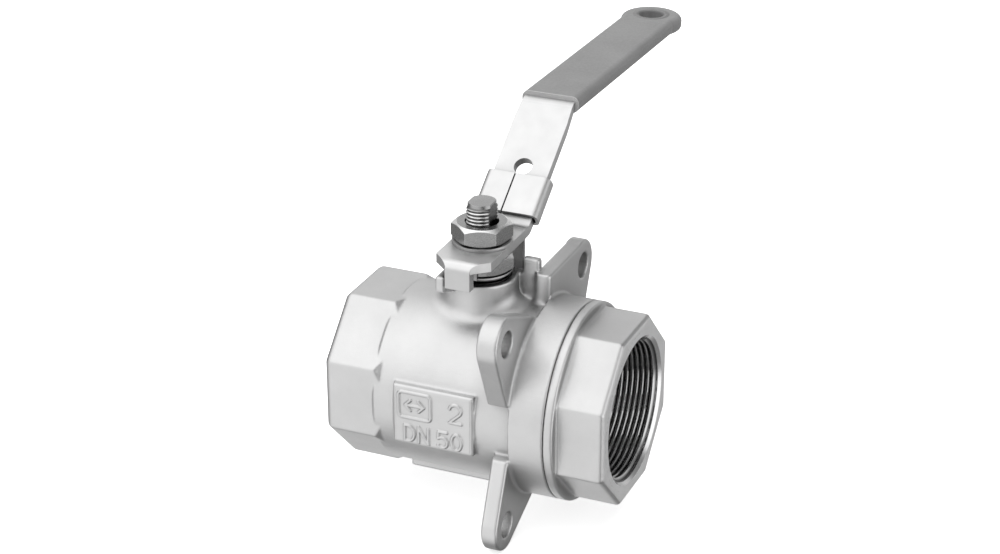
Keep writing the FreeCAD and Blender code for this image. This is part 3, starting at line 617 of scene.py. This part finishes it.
def pad_markings():
    """Raised marks on the front pad, as one fine sheet whose height follows the distance to the strokes."""
    step, inset = 0.2 * MM, 1.0 * MM
    across = np.arange(inset, PAD_WIDTH - inset, step)
    up = np.arange(PAD_LOW_Z + inset, PAD_TOP_Z - inset, step)
    place = np.stack(np.meshgrid(across, up, indexing="ij"), -1)
    inside = STROKE / 2 + STROKE_SLOPE / 2 - stroke_distance(place, pad_strokes())
    rise = np.clip(inside / STROKE_SLOPE, 0, 1)
    height = RELIEF * rise * rise * (3 - 2 * rise) + SHEET_LIFT
    height[[0, -1], :] = -RIM_DEPTH
    height[:, [0, -1]] = -RIM_DEPTH
    columns, rows = height.shape
    points = [(PAD_LOW_X + place[i, j, 0], PAD_FACE_Y - height[i, j], place[i, j, 1])
              for i in range(columns) for j in range(rows)]
    faces = [((i + 1) * rows + j, (i + 1) * rows + j + 1, i * rows + j + 1, i * rows + j)
             for i in range(columns - 1) for j in range(rows - 1)]
    mesh_object("pad_markings", points, faces, MATERIALS["cast_stainless"], "valve_body")


pad_markings()


# ---------------------------------------------------------------- floor, camera, light

def floor():
    """Pale floor that glows a little, so that its shadow stays faint."""
    half = 6.0                                # of its side
    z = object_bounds()[0][2]
    corners = [(-half, -half, z), (half, -half, z), (half, half, z), (-half, half, z)]
    mesh = bpy.data.meshes.new("floor")
    mesh.from_pydata(corners, [], [(0, 1, 2, 3)])
    obj = bpy.data.objects.new("floor", mesh)
    bpy.context.scene.collection.objects.link(obj)
    n = Nodes("floor")
    colour = n.blend(n.noise(scale=3.0), 0.92, 0.94)
    normal = n.bump(n.noise(scale=40.0), 0.1 * MM, 0.1)
    n.finish(colour, n.spread(n.noise(scale=5.0), 0.6, 0.7), normal, metallic=0.0)
    n.shader.inputs["Emission Color"].default_value = (1, 1, 1, 1)
    n.shader.inputs["Emission Strength"].default_value = 0.62
    paint(obj, n.material)
    obj.visible_glossy = False
    obj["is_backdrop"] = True


CAMERA_AZIMUTH = math.radians(23.2)
CAMERA_ELEVATION = math.radians(24.9)
CAMERA_DISTANCE = 1.0
CAMERA_OFFSET = (7.27 * MM, 42.86 * MM)      # right and up from the line to the ball's centre
FOCAL_SHARE = 2.4056                         # focal length over the image's width


def camera():
    back = Vector((math.sin(CAMERA_AZIMUTH) * math.cos(CAMERA_ELEVATION),
                   -math.cos(CAMERA_AZIMUTH) * math.cos(CAMERA_ELEVATION), math.sin(CAMERA_ELEVATION)))
    right = Vector((math.cos(CAMERA_AZIMUTH), math.sin(CAMERA_AZIMUTH), 0.0))
    up = back.cross(right)
    data = bpy.data.cameras.new("camera")
    data.sensor_width = 36.0
    data.lens = FOCAL_SHARE * data.sensor_width
    data.clip_start, data.clip_end = 0.05, 50.0
    obj = bpy.data.objects.new("camera", data)
    bpy.context.scene.collection.objects.link(obj)
    obj.location = STEM_AXIS + back * CAMERA_DISTANCE + right * CAMERA_OFFSET[0] + up * CAMERA_OFFSET[1]
    obj.rotation_euler = (-back).to_track_quat("-Z", "Y").to_euler()
    bpy.context.scene.camera = obj


def diffuse_light(name, direction, distance, size, power):
    """Area light that brightens dull surfaces only and leaves the steel's reflections to the room."""
    data = bpy.data.lights.new(name, "AREA")
    data.shape = "SQUARE"
    data.size = size
    data.energy = power
    obj = bpy.data.objects.new(name, data)
    bpy.context.scene.collection.objects.link(obj)
    obj.location = STEM_AXIS + Vector(direction).normalized() * distance
    obj.rotation_euler = (STEM_AXIS - obj.location).to_track_quat("-Z", "Y").to_euler()
    obj.visible_glossy = False


ROOM = 0.20                                   # the room's own brightness
SOFTBOXES = [                                 # direction, cosines of outer and inner edge, brightness
    ((-0.36, -0.36, 0.86), 0.45, 0.93, 1.08),     # large one above and in front, to the left
    ((-0.36, 0.83, 0.42), 0.75, 0.98, 0.56),      # high behind
    ((-0.47, -0.80, -0.37), 0.50, 0.96, 0.75),    # low in front, to the left
    ((-0.36, 0.58, -0.73), 0.80, 0.97, 0.58),     # light from the table below
    ((0.42, 0.90, -0.10), 0.90, 0.98, 0.36),      # far right
    ((0.92, -0.20, 0.05), 0.72, 0.86, 0.95),      # strip on the right, for the mouth's countersink
]


def softbox(tree, direction, outer, inner, power):
    """Brightness of one soft white panel in the world's tree."""
    coordinate = tree.nodes.new("ShaderNodeTexCoord")
    dot = tree.nodes.new("ShaderNodeVectorMath")
    dot.operation = "DOT_PRODUCT"
    dot.inputs[1].default_value = Vector(direction).normalized()
    tree.links.new(coordinate.outputs["Generated"], dot.inputs[0])
    ramp = tree.nodes.new("ShaderNodeMapRange")
    ramp.interpolation_type = "SMOOTHSTEP"
    ramp.inputs["From Min"].default_value = outer
    ramp.inputs["From Max"].default_value = inner
    ramp.inputs["To Max"].default_value = power
    tree.links.new(dot.outputs["Value"], ramp.inputs["Value"])
    return ramp.outputs["Result"]


def studio():
    """Grey room with soft white panels, so that the steel has something to show."""
    world = bpy.data.worlds.new("studio")
    bpy.context.scene.world = world
    world.use_nodes = True
    tree = world.node_tree
    total = tree.nodes.new("ShaderNodeValue").outputs["Value"]
    total.default_value = ROOM
    for panel in SOFTBOXES:
        add = tree.nodes.new("ShaderNodeMath")
        tree.links.new(total, add.inputs[0])
        tree.links.new(softbox(tree, *panel), add.inputs[1])
        total = add.outputs["Value"]
    tree.links.new(total, tree.nodes["Background"].inputs["Color"])
    diffuse_light("table_light", direction=(-0.1, 0.0, 1.0), distance=2.0, size=3.0, power=36.0)


floor()
camera()
studio()
bpy.context.scene.view_settings.view_transform = "Standard"
